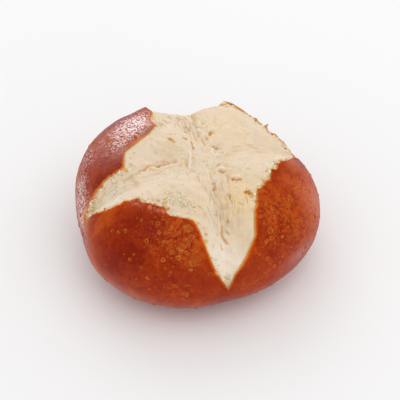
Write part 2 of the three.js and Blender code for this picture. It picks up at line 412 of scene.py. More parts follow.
crust = {
    "fineSpacing": 0.36,
    "spacing": 0.48,
    "bellySpacing": 0.8,
    "insideSpacing": 2.4,
    "fineReach": 5,  # the finest points lie this near the torn edge
    "bellyPolar": 99,
    "thickness": 0.8,
    "unevenThickness": 0.12,
    "thicknessSeed": 24,
    "rimBulge": 0.18,
    "rimSteps": 5,
    "lipCurl": 0.35,
    "lipCurlReach": 4,
    "liftReach": 1.4,
    "leastOrange": 0.12,
    "leastSprinkled": 0.06,  # how thick speckles and dots lie where no zone has them
    # how many millimetres a radian round and a radian down count for in the glaze's wrinkles
    "drawnRound": 38,
    "drawnDown": 17,
    # length of the waves, height, seed
    "undulation": [(24, 0.13, 21), (7, 0.035, 22), (2.6, 0.018, 23)],
    # azimuth, polar, radius, height of each ring blister
    "rings": [
        (253.8, 60, 0.7, 0.12), (255.6, 61.5, 0.75, 0.12), (254.3, 58.3, 0.6, 0.1),
        (256.8, 59.6, 0.6, 0.1), (264, 57.5, 1.7, 0.22), (263.3, 63.7, 1.3, 0.22),
        (266, 61.7, 1.5, 0.22), (262, 66.5, 1.5, 0.2), (267.5, 73, 1.6, 0.22), (255, 65, 1, 0.18),
        (264.5, 73.5, 0.8, 0.14), (268.5, 67.5, 0.9, 0.16), (257, 69, 0.9, 0.14),
        (260.5, 71, 0.9, 0.14), (258, 54, 1, 0.12), (264.5, 90, 1, 0.14), (238.5, 74.5, 0.5, 0.1),
        (243.5, 79, 0.6, 0.1), (232, 59.5, 0.4, 0.1), (222.5, 62.5, 0.35, 0.08), (229.5, 67, 0.8, 0.1),
        (311, 67, 1.2, 0.12), (320, 60, 0.9, 0.12), (317.5, 64, 0.8, 0.1), (328, 57.5, 0.9, 0.1),
        (334, 63.5, 1, 0.12), (344, 64, 1.1, 0.12), (325, 76, 1, 0.1), (310, 71, 0.9, 0.12),
        (305, 79, 0.9, 0.1), (70, 85, 1.4, 0.16), (62, 92, 0.9, 0.14), (150, 84, 1.2, 0.14),
        (165, 96, 0.8, 0.12),
    ],
    "ringSeed": 31,
    # azimuth, polar, radius, depth of each pit
    "pits": [
        (141.5, 50, 0.6, 0.2), (148, 49.5, 0.8, 0.22), (163, 45, 0.5, 0.2), (150, 60, 0.5, 0.15),
        (80, 78, 0.6, 0.2),
    ],
    # azimuth, width, how far the orange shows along the torn edge
    "orangeRims": [
        (272, 10, 1.2), (297, 10, 1), (309, 8, 0.9), (214, 6, 1), (219, 4, 0.6), (198, 2.5, 0.6),
        (188, 8, 0.8), (134, 5, 1.1), (163, 11, 0.75), (125, 4, 0.4), (332, 14, 0.4), (68, 6, 0.8),
        (50, 20, 0.4),
    ],
    # azimuth, width, how far the rim dips into the crumb
    "rimDips": [
        (60.5, 2.5, 0.3), (47.8, 1, 0.8), (45.2, 0.9, 0.7), (39, 2, 0.4), (34.5, 1.2, 0.6),
        (30, 2.6, 0.9),
    ],
    "glaze": [  # how much lies there
        (142, 51, 18, 13, 1.2), (170, 49, 9, 5.5, 0.65), (164, 53, 11, 6, 0.33), (178, 61, 9, 7, 0.28),
        (158, 44, 8, 4, 0.5), (170, 68, 7, 5, 1), (184, 73, 7, 6, 1.25), (193, 77, 7, 6, 1.25),
        (201, 82, 7, 10, 0.8), (186, 88, 12, 10, 0.8),
    ],
    "matte": [(176, 60, 10, 7, 0.9)],  # how far the thin glaze has worn off
    "speckles": [  # how thick they lie
        (262, 64, 11, 11, 1), (320, 65, 16, 13, 0.85), (246, 66, 8, 8, 0.35), (256, 88, 12, 5, 0.35),
        (340, 78, 20, 12, 0.4), (251, 62, 6, 6, 0.5), (60, 86, 26, 14, 0.5), (150, 82, 20, 12, 0.35),
        (100, 104, 14, 8, 0.3),
    ],
    # a scuffed pink rim along the top of the front lobe; the two zones on the right lobe paint a sheen
    # along its edge
    "scuffs": [  # how scuffed and pink
        (224, 53.8, 4.5, 2.2, 1.2), (234, 52, 7, 1.4, 1.1), (246, 51.4, 4.5, 1.4, 1),
        (245, 59, 9, 6, 0.12), (346, 66, 7, 12, 0.35), (354, 76, 10, 16, 0.4),
    ],
    # a pale bloom, mostly a painted highlight where the glaze catches the lamp, and a painted reflection of
    # the pale floor round the belly
    "bloom": [  # how much of it lies there
        (190, 78, 5, 6, 1), (183, 74, 6, 5.5, 0.9), (178, 61, 9, 7, 0.1), (198, 81, 5, 8, 0.9),
        (170, 68, 7, 4.5, 0.5), (188, 88, 10, 9, 0.45), (143, 49, 15, 9, 0.85), (347, 78, 9, 9, 0.16),
        (171, 49.5, 9, 5.5, 0.55), (0, 104, 500, 7, 0.13), (222, 100, 22, 7, 0.12),
        (326, 90, 10, 5, 0.25), (203, 89, 9, 5, 0.3), (158, 45, 8, 5, 0.5), (4, 60, 6, 5, 0.18),
    ],
    "dots": [  # how thick they lie
        (248, 62, 9, 8, 1.6), (262, 64, 12, 11, 1.1), (320, 65, 16, 13, 0.9), (256, 88, 12, 5, 0.4),
        (232, 53, 10, 2, 1.5), (190, 60, 14, 10, 0.5), (60, 86, 26, 14, 0.3), (130, 80, 30, 14, 0.3),
    ],
    "tones": [  # how dark
        (197, 60, 9, 12, 0.9), (228, 64, 6, 9, 0.85), (236, 72, 9, 6, 0.35), (239, 80, 9, 7, 0.6),
        (231, 80, 6, 5, 0.5), (229, 86, 8, 6, 0.35), (242, 61, 7, 7, 0.8), (221, 56, 6, 3.5, -0.8),
        (268, 84, 14, 8, 0.35), (214, 70, 5, 9, -0.6), (200, 80, 6, 7, -0.5), (214, 62, 5, 5, -0.4),
        (252, 72, 10, 8, 0.25), (262, 62, 12, 9, 0.45), (255, 55, 8, 3, -0.1), (318, 66, 20, 14, -0.35),
        (330, 54, 14, 6, 0.1), (353, 62, 10, 8, -0.4), (350, 76, 9, 12, -0.8), (340, 81, 8, 8, -0.45),
        (297, 78, 6, 6, -0.4), (325, 90, 18, 9, 0.15), (232, 76, 7, 6, 0.7), (247, 73, 5, 5, -0.35),
        (260, 75, 6, 8, 0.85), (0, 58, 7, 6, -1.2), (308, 74, 8, 6, -0.25), (271, 66, 3.5, 10, -0.65),
        (150, 59, 5, 5, 0.1), (150, 46, 24, 12, 0.9), (168, 60, 12, 10, 0.6), (178, 59, 9, 8, 0.5),
        (60, 85, 20, 14, 0.3), (95, 96, 10, 10, -0.3), (140, 98, 18, 9, 0.3),
    ],
}


# How far the crust's surface stands off the dough, with its marks.
def crustRelief(points, azimuth, polar, toEdge, edgeStep):
    height = crust["lipCurl"] * np.exp(-toEdge / crust["lipCurlReach"])
    dip = edgeSum(crust["rimDips"], azimuth)
    height += (edgeLift[edgeStep] - dip) * np.exp(-((toEdge / crust["liftReach"]) ** 2))
    for length, amount, seed in crust["undulation"]:
        height += amount * ripples(points, length, seed) * (1 - 0.6 * np.exp(-toEdge / length))
    blister = np.zeros(len(points))
    wobble = 1 + 0.12 * ripples(points, 2.2, crust["ringSeed"], 12)
    for ringAzimuth, ringPolar, radius, rise in crust["rings"]:
        away = np.linalg.norm(points - doughPoint(ringAzimuth, ringPolar), axis=1)
        uneven = away * wobble
        ring = np.exp(-(((uneven - 0.75 * radius) / (0.28 * radius)) ** 2))
        disc = smoothStep(radius - uneven, 0, 0.4 * radius)
        height += rise * (0.5 * ring + 0.5 * disc)
        shown = 0.3 + 0.25 * radius
        blister = np.maximum(blister, shown * ring + 0.6 * shown * disc)
    pit = np.zeros(len(points))
    for pitAzimuth, pitPolar, radius, depth in crust["pits"]:
        away = np.linalg.norm(points - doughPoint(pitAzimuth, pitPolar), axis=1)
        hole = smoothStep(radius - away, 0, 0.7 * radius)
        height -= depth * hole
        pit = np.maximum(pit, hole)

    def zone(name):
        return zoneSum(crust[name], azimuth, polar)

    inside = smoothStep(toEdge, 0.4, 1.6)
    drawnRound = np.radians(azimuth) * crust["drawnRound"]
    drawnDown = np.radians(polar) * crust["drawnDown"]
    return height, {
        "fromEdge": toEdge,
        "blister": blister,
        "pit": pit,
        "dip": dip,
        "orange": edgeSum(crust["orangeRims"], azimuth, crust["leastOrange"]),
        "tone": zone("tones"),
        "glaze": zone("glaze"),
        "matte": zone("matte"),
        "scuff": zone("scuffs"),
        "bloom": zone("bloom"),
        "speckle": inside * (crust["leastSprinkled"] + zone("speckles")),
        "dots": inside * (crust["leastSprinkled"] + zone("dots")),
        "wayDown": np.stack([drawnRound, drawnDown, 0 * polar], axis=1),
    }


# A shell: its outer face, the torn rim turned over its thickness, and its inner face.
def crustPiece():
    baseAzimuth = np.arange(0, 360, baseStep)
    loopAzimuth = np.concatenate([edgeAzimuth, baseAzimuth])
    loopPolar = np.concatenate([edgePolar, basePolar(baseAzimuth)])
    loopLengths = (len(edgeAzimuth), len(baseAzimuth))
    edgeSize = loopLengths[0]
    fine, reach, bellyPolar = crust["fineSpacing"], crust["fineReach"], crust["bellyPolar"]
    azimuth, polar = spread([
        (fine, lambda polar, away, torn: ~torn & (away > fine / 2) & (away < reach)),
        (crust["spacing"], lambda polar, away, torn: ~torn & (away > reach) & (polar < bellyPolar)),
        (crust["bellySpacing"], lambda polar, away, torn: ~torn & (away > reach) & (polar > bellyPolar)),
    ])
    azimuth = np.concatenate([loopAzimuth, azimuth])
    polar = np.concatenate([loopPolar, polar])
    points = doughPoint(azimuth, polar)
    toEdge, edgeStep = nearestOn(edgeLine, points)
    height, marks = crustRelief(points, azimuth, polar, toEdge, edgeStep)
    height[edgeSize:sum(loopLengths)] = 0
    points = doughPoint(azimuth, polar, height)
    body = Body()
    outer = body.addPoints(points, **marks)
    body.faces += triangulate(azimuth, polar, loopLengths, edgeSize).tolist()
    body.addBase(outer[edgeSize:sum(loopLengths)], isFacingDown=True)

    # the rim turns from the outer face over to the inner one
    rim = points[:edgeSize]
    forward = unit(np.roll(rim, -1, axis=0) - np.roll(rim, 1, axis=0))
    outwards = doughNormal(edgeAzimuth, edgePolar)
    across = unit(np.cross(outwards, forward))
    along = np.stack([np.arange(edgeSize) * tornEdge["step"], np.zeros(edgeSize)], axis=1)
    thickness = crust["thickness"] + crust["unevenThickness"] * ripples(along, 4, crust["thicknessSeed"])
    last = outer[:edgeSize]
    for step in range(1, crust["rimSteps"] + 1):
        turn = math.pi * step / crust["rimSteps"]
        bulge = across * crust["rimBulge"] * math.sin(turn)
        sunk = outwards * (thickness * (1 - math.cos(turn)) / 2)[:, None]
        share = step / crust["rimSteps"]
        following = body.addPoints(
            rim + bulge - sunk, rim=share, tone=marks["tone"][:edgeSize], orange=marks["orange"][:edgeSize],
            dip=marks["dip"][:edgeSize],
        )
        body.addStrip(last, following)
        last = following

    # the inner face, coarser
    azimuth, polar = spread([(
        crust["insideSpacing"],
        lambda polar, away, torn: ~torn & (away > crust["insideSpacing"] / 2),
    )])
    azimuth = np.concatenate([loopAzimuth, azimuth])
    polar = np.concatenate([loopPolar, polar])
    points = doughPoint(azimuth, polar, -crust["thickness"])
    baseStart, baseEnd = edgeSize, sum(loopLengths)
    points[baseStart:baseEnd, 2] = crust["thickness"]
    inner = np.concatenate([last, body.addPoints(points[edgeSize:], rim=1)])
    triangles = triangulate(azimuth, polar, loopLengths, edgeSize)
    body.faces += inner[triangles[:, ::-1]].tolist()
    body.addBase(inner[baseStart:baseEnd], isFacingDown=False)
    return body.finish("crust", shift)


crustShell = crustPiece()


crumb = {
    "spacing": 0.28,
    "hiddenSpacing": 2.6,
    "underCrust": 0.5,  # how far under the crust's face the hidden crumb lies
    "marginReach": 1.3,  # the finest points go this far in under the crust
    "lip": 0.4,
    # how deep the tear is along each arm, how steeply it starts, and the share of its depth that
    # lies in the crease
    "arms": {
        "rightTip": (5.2, 0.5, 0.02), "backTip": (6.6, 0.68, 0.1),
        "leftTip": (6.2, 0.6, 0.1), "frontTip": (5.8, 0.52, 0.16),
    },
    "creaseSharpness": 5,
    "swells": [  # height
        (101, 66, 9, 16, 2.1), (81, 60, 9, 14, -2.4), (120, 60, 9, 14, -2.9), (112, 56, 5, 10, -1.8),
        (38, 66, 16, 14, -1), (86.5, 57, 7, 12, 1.5), (250, 38, 25, 12, 0.5), (160, 30, 20, 12, 0.3),
        (50, 50, 22, 14, 0.4),
    ],
    "lumps": 0.24,  # how high the torn face's lumps stand where shreds lie thickest
    "lumpSeed": 48,
    # length of the waves, height, seed
    "undulation": [(11, 0.3, 41), (4.6, 0.22, 42), (1.9, 0.075, 43), (0.95, 0.032, 44)],
    # Fibres that run along each arm: the arm's tip, how far their band lies to the left of the cut as
    # seen from the roll's middle, its width, where it starts and ends, where the fibres meet, their
    # height, and their number over a quarter turn.
    "fibres": [
        ("frontTip", 0.5, 6.5, 3, 38, 58, 0.24, 44),
        ("frontTip", 9.5, 3.5, 6, 34, 58, 0.09, 50),
        ("backTip", -1, 6.5, 8, 47, 60, 0.24, 46),
        ("leftTip", 0, 5, 9, 44, 64, 0.16, 40),
        ("rightTip", 1, 5, 8, 44, 64, 0.14, 40),
    ],
    "fibreSeed": 50,
    "fineFibreSeed": 60,
    # folds and strands round the top: how far out they reach, their height, size and number
    "folds": {
        "reach": 21, "height": 0.24, "length": 3.4, "seed": 58,
        "fanHeight": 0.08, "fanCount": 26, "fanSeed": 57,
    },
    # Lines torn into the crumb, and ridges where the depth is below 0: places, half width, depth,
    # how much higher the right side stands, and how golden the line is. A groove's tan is painted
    # shade, a ridge's white a painted highlight, and the gold is partly painted shade.
    "seams": [
        # the crease of the left arm and the ridge in front of it
        (
            [(200, 47), (196.5, 42), (194, 39), (192.5, 35), (192, 31), (192, 26), (191, 18)],
            0.6, 0.7, 1.5, 0.5,
        ),
        ([(193, 38), (196.5, 34), (198, 29.5), (197.5, 24), (195.5, 18.5), (192.5, 15)], 0.5, -0.5, 0, 0),
        ([(198, 45), (196, 41.5), (194.5, 39), (192.5, 35)], 0.8, 0.4, 0, 0.9),
        ([(199.5, 54), (199, 50.5), (198, 46)], 0.5, 0.4, 0.4, 0.3),
        # the strand left standing at the cut's centre, with a fold beside it
        ([(136, 9.5), (165, 7), (206, 8), (243, 14)], 0.5, -1.1, 0.3, 0),
        ([(180, 10), (206, 11.5), (229, 14)], 0.8, 0.55, 0, 0),
        ([(105, 26), (105.5, 21), (106.5, 16.5), (111.5, 10.5)], 0.36, 1.1, 0.15, 0.9),
        ([(85, 30), (80, 25.5), (74.5, 22), (71.5, 19)], 0.42, 0.6, 0.3, 0.45),
        # the cup's rim
        (
            [(51.5, 20), (43, 16.5), (34.5, 15), (22, 15.5), (16, 18.5), (16, 21.5), (19, 24), (24, 26)],
            0.4, -0.6, 0, 0,
        ),
        ([(27.5, 21), (29.5, 23.5), (30.5, 26)], 0.35, -0.5, 0, 0),
        # the flap in front of the cup and the shelf beyond it
        ([(340, 20), (332, 19.5), (325, 19.5)], 0.6, 0.5, -0.6, 0.7),
        ([(323, 20), (326.5, 23), (328.5, 26.5), (330, 30)], 0.6, -0.75, 0, 0),
        ([(320, 22), (321, 25.5), (323, 28.5)], 0.5, 0.5, -0.8, 0.9),
        ([(319, 29), (318, 31), (312, 34), (308, 37)], 0.6, 0.45, -0.3, 0.5),
        ([(316, 33.5), (319, 36), (322, 38), (324, 39.5)], 0.4, 0.5, -0.8, 1.5),
        ([(318, 32), (322, 34.5), (325.5, 36.8)], 0.5, -0.6, 0, 0),
        # slits in the front arm
        ([(297, 29), (293, 33.5), (290.5, 37.5)], 0.5, 0.55, 0, 1.4),
        ([(286, 36), (283, 41.5), (281.3, 46)], 0.3, 0.5, 0, 0.2),
        ([(292.5, 38), (289, 44), (285.5, 50), (283.5, 54)], 1, 0.4, 0, 0.1),
        ([(303, 42), (299.5, 47)], 0.45, 0.5, 0, 1.2),
        ([(301, 46), (299.3, 49)], 0.36, 0.5, 0, 0.3),
        ([(298.5, 43), (296, 46.5)], 0.4, 0.4, 0, 0.3),
        ([(287.5, 54), (286.3, 57)], 0.4, 0.45, 0, 1),
        ([(292, 56), (291, 59.5)], 0.5, 0.4, 0, 1.3),
        ([(287, 59), (285, 64), (287.5, 69)], 0.6, 0.5, -0.3, 1),
        # strands of the back arm
        ([(94, 65), (93, 54), (94, 50.5), (90.5, 42)], 0.42, 0.55, 0.2, 0.4),
        ([(99, 64), (102, 50), (102, 41.5), (102.5, 32)], 0.42, 0.42, 0, 0.3),
        ([(99.5, 44), (98.5, 39)], 0.45, 0.55, 0, 0.5),
        ([(86, 47), (85.5, 41)], 0.35, 0.35, 0, 0.1),
        ([(80.5, 42), (78.5, 35)], 0.35, 0.35, 0, 0.1),
        ([(97, 61), (97, 50)], 0.6, -0.4, 0, 0),
        ([(90, 50), (88.5, 43)], 0.5, -0.35, 0, 0),
        ([(95, 44.5), (93.5, 38)], 0.6, -0.45, 0, 0),
        ([(78, 41), (72, 40.5)], 0.3, -0.35, 0, 0),
        # the groove of the right arm, and broad folds of the back left face
        ([(25, 45), (26, 52.5), (25.5, 59)], 0.4, 0.5, 0.4, 0.35),
        ([(160, 44), (158, 36), (163, 28)], 0.6, 0.16, 0.1, 0),
        ([(60, 48), (66, 40), (70, 33)], 0.5, 0.2, 0.1, 0),
    ],
    # azimuth, polar, length, width, turn from +X, depth and how brown it is inside
    "pores": [
        (142.5, 26, 2.5, 2.2, 35, 0.9, 1), (144.7, 23, 1.2, 1.4, -60, 0.5, 0.9),
        (114, 27, 1.7, 2.5, -30, 0.8, 1), (72.5, 34, 2.2, 2.7, -10, 0.9, 1.3),
        (74.5, 28.5, 1.2, 1.4, -40, 0.4, 0.8), (120.5, 46.5, 1.8, 1.9, -20, 0.5, 0.7),
        (126.5, 45, 1, 0.8, 0, 0.4, 0.4), (133, 35, 1.3, 0.5, 0, 0.25, 0.4),
        (193, 33.5, 1.8, 1.6, 0, 0.8, 1.3), (187.5, 28, 3.4, 2.2, 15, 0.45, 0.35),
        (186, 21, 2.6, 2, 10, 0.35, 0.2), (184, 44.5, 0.6, 0.9, 0, 0.35, 0.7),
        (189.5, 45.5, 0.6, 0.9, 0, 0.35, 0.7), (41, 22, 2.3, 2.6, -40, 0.9, 0.8),
        (50.5, 21.5, 1.5, 2.2, 0, 0.6, 0.9), (30, 17.5, 1.5, 1.1, 30, 0.5, 0.15),
        (20.5, 22, 1.2, 1.5, 20, 0.55, 0.2), (48, 25, 1, 0.5, -50, 0.4, 0.7),
        (88, 36.5, 1.4, 1.7, 0, 0.5, 0.35), (76.5, 50.5, 0.7, 0.8, 0, 0.3, 0.6),
        (74, 44.5, 1.6, 1.1, 20, 0.35, 0.25), (79, 44, 1.6, 1.1, 60, -0.3, 0),
        (237, 19, 1.3, 0.7, -40, 0.35, 0.4), (246.5, 21, 0.9, 0.6, -40, 0.35, 0.4),
        (315.3, 46.9, 2.9, 2.8, -45, 0.9, 1.5), (314.3, 49.3, 2.4, 2.2, -60, 0.5, 0.9),
        (304.5, 50.5, 1.5, 1.5, 0, 0.4, 0.5), (312, 41, 1.1, 0.9, 0, 0.3, 0.4),
        (41.5, 59, 0.9, 0.6, 0, 0.3, 0.6), (54.5, 59, 0.8, 0.7, 0, 0.3, 0.5),
        (4.5, 48.5, 1, 0.9, 0, 0.3, 0.4), (26, 38, 1.1, 0.6, -30, 0.35, 0.3),
        (27.5, 33, 1.2, 0.7, -50, 0.35, 0.3), (289, 63.5, 2.3, 1.5, -30, 0.75, 0.6),
        (291, 65.5, 1.5, 0.7, 30, -0.35, 0), (283.5, 70.5, 0.6, 0.9, 0, 0.3, 1),
        (282, 62.5, 0.6, 0.6, 0, 0.25, 0.9), (267, 47.5, 0.8, 1.1, 0, 0.4, 1.2),
        (250, 33, 1, 0.8, 10, 0.25, 0.35), (225, 40, 1, 0.8, 20, 0.2, 0.3),
        (340, 38, 1.2, 0.9, 0, 0.3, 0.35),
    ],
    "grain": [  # how grainy the torn face is
        (0, 0, 500, 14, 0.6), (97, 45, 13, 20, 0.4), (298, 36, 14, 14, 0.3), (250, 43, 10, 4, 0.6),
        (194, 40, 5, 7, 0.3), (324, 45, 14, 5, 0.25), (122, 47, 9, 5, 0.7),
    ],
    "shreds": [  # how thick they lie
        (248, 43, 8, 3, 1), (262, 45.5, 6, 2.5, 0.9), (131, 43, 6, 4, 0.5), (187, 46, 8, 2, 0.25),
        (325, 46.5, 12, 2, 0.15), (203, 62, 4, 6, 0.12), (45, 24, 8, 5, 0.4), (300, 33, 9, 6, 0.15),
        (350, 6, 60, 6, 0.08), (100, 40, 14, 12, 0.12),
    ],
    "threads": [  # how thick they lie
        (290, 45, 14, 20, 1), (104, 45, 12, 14, 1), (318, 28, 12, 8, 0.6), (200, 60, 6, 10, 0.4),
        (22, 55, 8, 12, 0.3),
    ],
    # azimuth, width, how thick flakes lie along the torn edge
    "flakes": [
        (330, 14, 1.1), (350, 12, 1.7), (198, 4, 0.8), (208, 8, 0.3), (230, 8, 0.9), (246, 8, 0.5),
        (134, 6, 0.5), (52, 13, 0.9), (280, 4, 0.8), (30, 8, 0.6), (68, 12, 0.6),
    ],
    "leastFlakes": 0.05,
    "flakeReach": 0.8,  # how far from the crust they lie
    # straw tints; the pale ones below 0 are partly painted light that lifts the shaded front arm
    "tints": [  # how straw-coloured, or how pale below 0
        (302, 48, 12, 14, 0.9), (286, 46, 7, 9, -0.4), (318, 44, 12, 8, 0.7), (268, 50, 8, 8, 0.4),
        (60, 45, 25, 16, 0.45), (194, 36, 5, 5, 0.8), (284, 76, 9, 14, -0.7), (206, 62, 8, 10, -0.6),
        (300, 62, 8, 8, -0.1),
    ],
    "seamSeed": 46,
    "poreSeed": 47,
    "finePores": {"count": 170, "seed": 45, "smallest": 0.22, "largest": 0.6, "depth": 0.5},
}


def tornPolar(azimuth):
    return np.interp(azimuth, smoothPlaces[:, 0], smoothPlaces[:, 1], period=360)


# The distance from each point to the nearest arm of the cut, and the tear's depth, slope and crease
# there, blended between the arms. Each arm lies in a plane through the core.
def toCut(points):
    fromCore = points - core
    distances = []
    for tip in crumb["arms"]:
        aside, ahead = armPlace(fromCore, dough[tip])
        distances.append(np.where(ahead < 0, np.hypot(aside, ahead), np.abs(aside)))
    weights = 1 / (np.array(distances) ** 2 + 4)
    tear = np.array(list(crumb["arms"].values())).T @ weights / weights.sum(axis=0)
    return np.min(distances, axis=0), tear


# How far a point lies to the left of an arm of the cut, and how far along it.
def armPlace(fromCore, tip):
    centre = direction(*dough["cutCentre"])
    left = unit(np.cross(centre, direction(*tip)))
    return fromCore @ left, fromCore @ np.cross(left, centre)


# How far the smooth torn crumb lies below the dough, and where the tear is.
def crumbSink(azimuth, polar):
    points = doughPoint(azimuth, polar)
    toEdge, _ = nearestOn(smoothLine, points)
    fromCut, (deepest, steepness, crease) = toCut(points)
    halfWidth = np.maximum(toEdge + fromCut, 1e-6)
    share = toEdge / halfWidth
    fall = (1 - crease) * smoothStep(share, 0, 1) + crease * share ** crumb["creaseSharpness"]
    depth = np.minimum(deepest, steepness * halfWidth)
    isTorn = polar < tornPolar(azimuth)
    sink = np.where(isTorn, crumb["lip"] + depth * fall, crumb["underCrust"])
    return sink, toEdge * isTorn


def crumbPoint(azimuth, polar):
    azimuth, polar = np.atleast_1d(azimuth).astype(float), np.atleast_1d(polar).astype(float)
    return doughPoint(azimuth, polar, -crumbSink(azimuth, polar)[0])


# A seam's height over the points: a groove, and a step that fades away from it. Its mark paints shade in a
# groove and a highlight along a ridge.
def seamRelief(points, path, halfWidth, depth, step):
    line = splinePoints(path, 12)
    line = crumbPoint(line[:, 0], line[:, 1])
    stepReach, stepFade = 9, 3.5
    reach = stepReach if step else 4 * halfWidth
    near = np.linalg.norm(points - line.mean(axis=0), axis=1) < lengthsAlong(line)[-1] / 2 + reach
    offsets = points[near, None] - line
    distances = np.linalg.norm(offsets, axis=2)
    nearest = distances.argmin(axis=1)
    rows = np.arange(len(nearest))
    forward = unit(np.gradient(line, axis=0))[nearest]
    right = unit(np.cross(forward, line[nearest] - core))
    distance = distances[rows, nearest]
    side = (offsets[rows, nearest] * right).sum(axis=1)
    along = lengthsAlong(line)[nearest]
    ends = smoothStep(np.minimum(along, lengthsAlong(line)[-1] - along), -0.2, 1.2)
    wobble = 1 + 0.25 * ripples(points[near], 1.6, crumb["seamSeed"], 16)
    groove = np.exp(-((distance / (halfWidth * wobble)) ** 2)) * ends
    sharp = np.tanh(side / (0.7 * halfWidth)) * np.exp(-np.abs(side) / stepFade)
    height = np.zeros(len(points))
    mark = np.zeros(len(points))
    height[near] = -depth * groove + step / 2 * sharp * ends * np.exp(-distance / 5)
    mark[near] = groove * min(1, max(-1, depth / 0.6))
    return height, mark


# A pore's height over the points, with the low lip round it, and how brown it is inside.
def poreRelief(points, azimuth, polar, length, width, turn, depth, brown):
    middle = crumbPoint(azimuth, polar)[0]
    near = np.linalg.norm(points - middle, axis=1) < length
    up = unit(middle - core)
    east = unit(np.cross((0, 1, 0), up))
    north = np.cross(up, east)
    east, north = (
        east * math.cos(math.radians(turn)) + north * math.sin(math.radians(turn)),
        north * math.cos(math.radians(turn)) - east * math.sin(math.radians(turn)),
    )
    offsets = points[near] - middle
    away = np.hypot(offsets @ east / (length / 2), offsets @ north / (width / 2))
    away *= 1 + 0.2 * ripples(points[near], 1.3, crumb["poreSeed"], 12)
    height = np.zeros(len(points))
    mark = np.zeros(len(points))
    lip = 0.12 * abs(depth) * np.exp(-(((away - 1.2) / 0.25) ** 2))
    height[near] = lip - depth * smoothStep(1.1 - away, 0, 0.75)
    mark[near] = brown * smoothStep(1.05 - away, 0, 0.5)
    return height, mark


# The height of one band of fibres, and the painted shade in its grooves.
def fibreRelief(fromCore, number, tip, toLeft, width, start, end, focus, rise, count):
    aside, ahead = armPlace(fromCore, dough[tip])
    fan = np.arctan2(aside, focus - ahead) / (math.pi / 2) * count
    line = np.stack([fan, ahead / 11], axis=1)
    strands = ripples(line, 1.2, crumb["fibreSeed"] + number)
    strands = strands + 0.5 * ripples(line * (2.1, 1.6), 1.1, crumb["fineFibreSeed"] + number)
    band = np.exp(-(((aside - toLeft) / width) ** 2))
    band *= smoothStep(ahead, start, start + 7)
    band *= 1 - smoothStep(ahead, end - 9, end)
    grooves = np.clip(-strands - 0.2, 0, 1.6)
    mark = band * smoothStep(grooves, 0.2, 1.4) * rise / 0.34
    return rise * band * (0.45 * strands - 0.6 * grooves), mark


# Small pores at random places, listed as the larger ones are.
def finePores():
    fine = crumb["finePores"]
    chance = np.random.default_rng(fine["seed"])
    holes = []
    for _ in range(fine["count"]):
        azimuth = chance.uniform(0, 360)
        polar = math.sqrt(chance.uniform(0.003, 0.85)) * float(tornPolar(azimuth))
        length = chance.uniform(fine["smallest"], fine["largest"]) * 2
        turn = chance.uniform(0, 180)
        width = length * chance.uniform(0.5, 1)
        depth = fine["depth"] * length / 2 * chance.uniform(0.6, 1.2)
        brown = chance.uniform(0, 0.45)
        holes.append((azimuth, polar, length, width, turn, depth, brown))
    return holes


# The torn face's relief over the smooth crumb, with its marks, among them painted shade in the hollows and
# painted highlights on the ridges.
def crumbRelief(points, azimuth, polar, toEdge):
    height = zoneSum(crumb["swells"], azimuth, polar)
    grain = 0.25 + zoneSum(crumb["grain"], azimuth, polar)
    for length, amount, seed in crumb["undulation"]:
        height += amount * ripples(points, length, seed) * (1 if length > 3 else 0.3 + grain)
    rough = zoneSum(crumb["shreds"], azimuth, polar)
    lumps = ripples(points, 1.3, crumb["lumpSeed"], 14)
    height += crumb["lumps"] * rough * lumps
    # painted shade in the hollows between the lumps
    valley = rough * smoothStep(-lumps, 0.1, 1.3)
    fromCore = points - core
    for number, fibres in enumerate(crumb["fibres"]):
        rise, mark = fibreRelief(fromCore, number, *fibres)
        height += rise
        valley = np.maximum(valley, mark)
    folds = crumb["folds"]
    centre = direction(*dough["cutCentre"])
    east = unit(np.cross((0, 1, 0), centre))
    x, y = fromCore @ east, fromCore @ np.cross(centre, east)
    out = np.hypot(x, y)
    near = 1 - smoothStep(out, 0.55 * folds["reach"], folds["reach"])
    fan = np.stack([np.arctan2(y, x) / (math.pi / 2) * folds["fanCount"], out / 7], axis=1)
    height += folds["fanHeight"] * near * smoothStep(out, 3, 7) * ripples(fan, 1.2, folds["fanSeed"])
    stretched = np.stack([x * 1.5, y, fromCore[:, 2] * 0], axis=1)
    ridge = np.abs(ripples(stretched, folds["length"], folds["seed"], 16))
    height += folds["height"] * near * (np.exp(-3 * ridge) - 0.3)
    # painted shade in the hollows of the folds
    valley = np.maximum(valley, 0.35 * near * smoothStep(ridge, 0.9, 2))
    pore = np.zeros(len(points))
    # painted highlight along the ridges
    crest = np.zeros(len(points))
    for path, halfWidth, depth, step, goldAndShade in crumb["seams"]:
        rise, mark = seamRelief(points, path, halfWidth, depth, step)
        height += rise
        valley = np.maximum(valley, mark)
        crest = np.maximum(crest, -mark)
        # the seams' gold, partly painted shade beside folds and under the flap
        pore = np.maximum(pore, goldAndShade * mark)
    for hole in crumb["pores"] + finePores():
        rise, mark = poreRelief(points, *hole)
        height += rise
        pore = np.maximum(pore, mark)
    calm = smoothStep(toEdge, 0, 1.6)
    return height * calm, {
        "pore": pore, "valley": valley * calm, "crest": crest, "grain": grain,
    }


# The way along the nearest arm of the cut, at each point.
def alongArms(points):
    fromCore = points - core
    centre = direction(*dough["cutCentre"])
    places = np.array([armPlace(fromCore, dough[tip]) for tip in crumb["arms"]])
    nearest = np.where(places[:, 1] < 0, np.inf, np.abs(places[:, 0])).argmin(axis=0)
    lefts = np.array([unit(np.cross(centre, direction(*dough[tip]))) for tip in crumb["arms"]])
    return unit(np.cross(lefts[nearest], unit(fromCore)))


